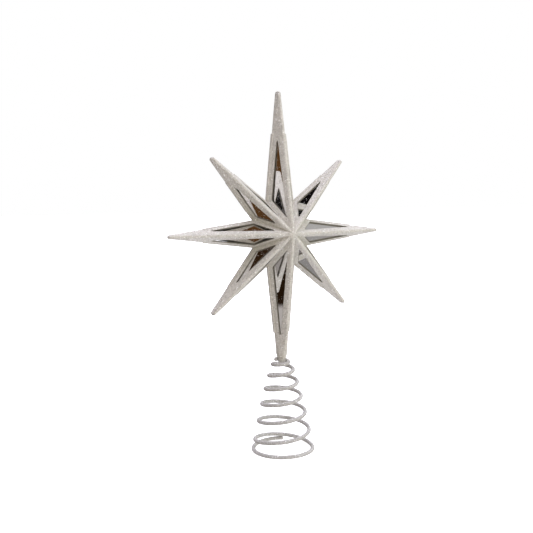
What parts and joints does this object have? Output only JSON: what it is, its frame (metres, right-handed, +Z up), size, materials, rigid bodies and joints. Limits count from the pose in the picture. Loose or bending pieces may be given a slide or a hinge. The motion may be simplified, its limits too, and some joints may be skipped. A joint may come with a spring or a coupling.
{
  "type": "christmas tree topper star",
  "caption": "Eight-pointed hollow star in glittered plastic with triangular mirror insets, on a conical coil spring that slips over a tree's top shoot.",
  "frame": {"origin": "middle of the spring's base turn, on the surface that it stands on", "axes": "+Z up through the spring and the top ray, the star's front faces -Y, +X to the right seen from the front"},
  "size_m": [0.2008, 0.0548, 0.3051],
  "materials": {
    "glitter_plastic": "warm silver-white fine glitter coat on moulded plastic",
    "mirror": "silvered flat mirror",
    "glitter_wire": "silver-white fine glitter coat on steel wire"
  },
  "bodies": {
    "spring": {"tree_spring": "glitter_wire"},
    "star": {"front_frame": "glitter_plastic", "front_mirror_bottom_ray_left": "mirror", "front_mirror_bottom_ray_right": "mirror", "front_mirror_left_ray_lower": "mirror", "front_mirror_left_ray_upper": "mirror", "front_mirror_lower_left_ray_lower": "mirror", "front_mirror_lower_left_ray_upper": "mirror", "front_mirror_lower_right_ray_lower": "mirror", "front_mirror_lower_right_ray_upper": "mirror", "front_mirror_right_ray_lower": "mirror", "front_mirror_right_ray_upper": "mirror", "front_mirror_top_ray_left": "mirror", "front_mirror_top_ray_right": "mirror", "front_mirror_upper_left_ray_lower": "mirror", "front_mirror_upper_left_ray_upper": "mirror", "front_mirror_upper_right_ray_lower": "mirror", "front_mirror_upper_right_ray_upper": "mirror", "rear_frame": "glitter_plastic", "rear_mirror_bottom_ray_left": "mirror", "rear_mirror_bottom_ray_right": "mirror", "rear_mirror_left_ray_lower": "mirror", "rear_mirror_left_ray_upper": "mirror", "rear_mirror_lower_left_ray_lower": "mirror", "rear_mirror_lower_left_ray_upper": "mirror", "rear_mirror_lower_right_ray_lower": "mirror", "rear_mirror_lower_right_ray_upper": "mirror", "rear_mirror_right_ray_lower": "mirror", "rear_mirror_right_ray_upper": "mirror", "rear_mirror_top_ray_left": "mirror", "rear_mirror_top_ray_right": "mirror", "rear_mirror_upper_left_ray_lower": "mirror", "rear_mirror_upper_left_ray_upper": "mirror", "rear_mirror_upper_right_ray_lower": "mirror", "rear_mirror_upper_right_ray_upper": "mirror"}
  },
  "joints": [
    {"name": "spring_press", "type": "slide", "parent": "spring", "child": "star", "axis": [0, 0, 1], "range_m": [-0.045, 0], "stiffness_N_per_m": 600, "springref_m": 0.00118, "deforming": ["tree_spring"]}
  ]
}
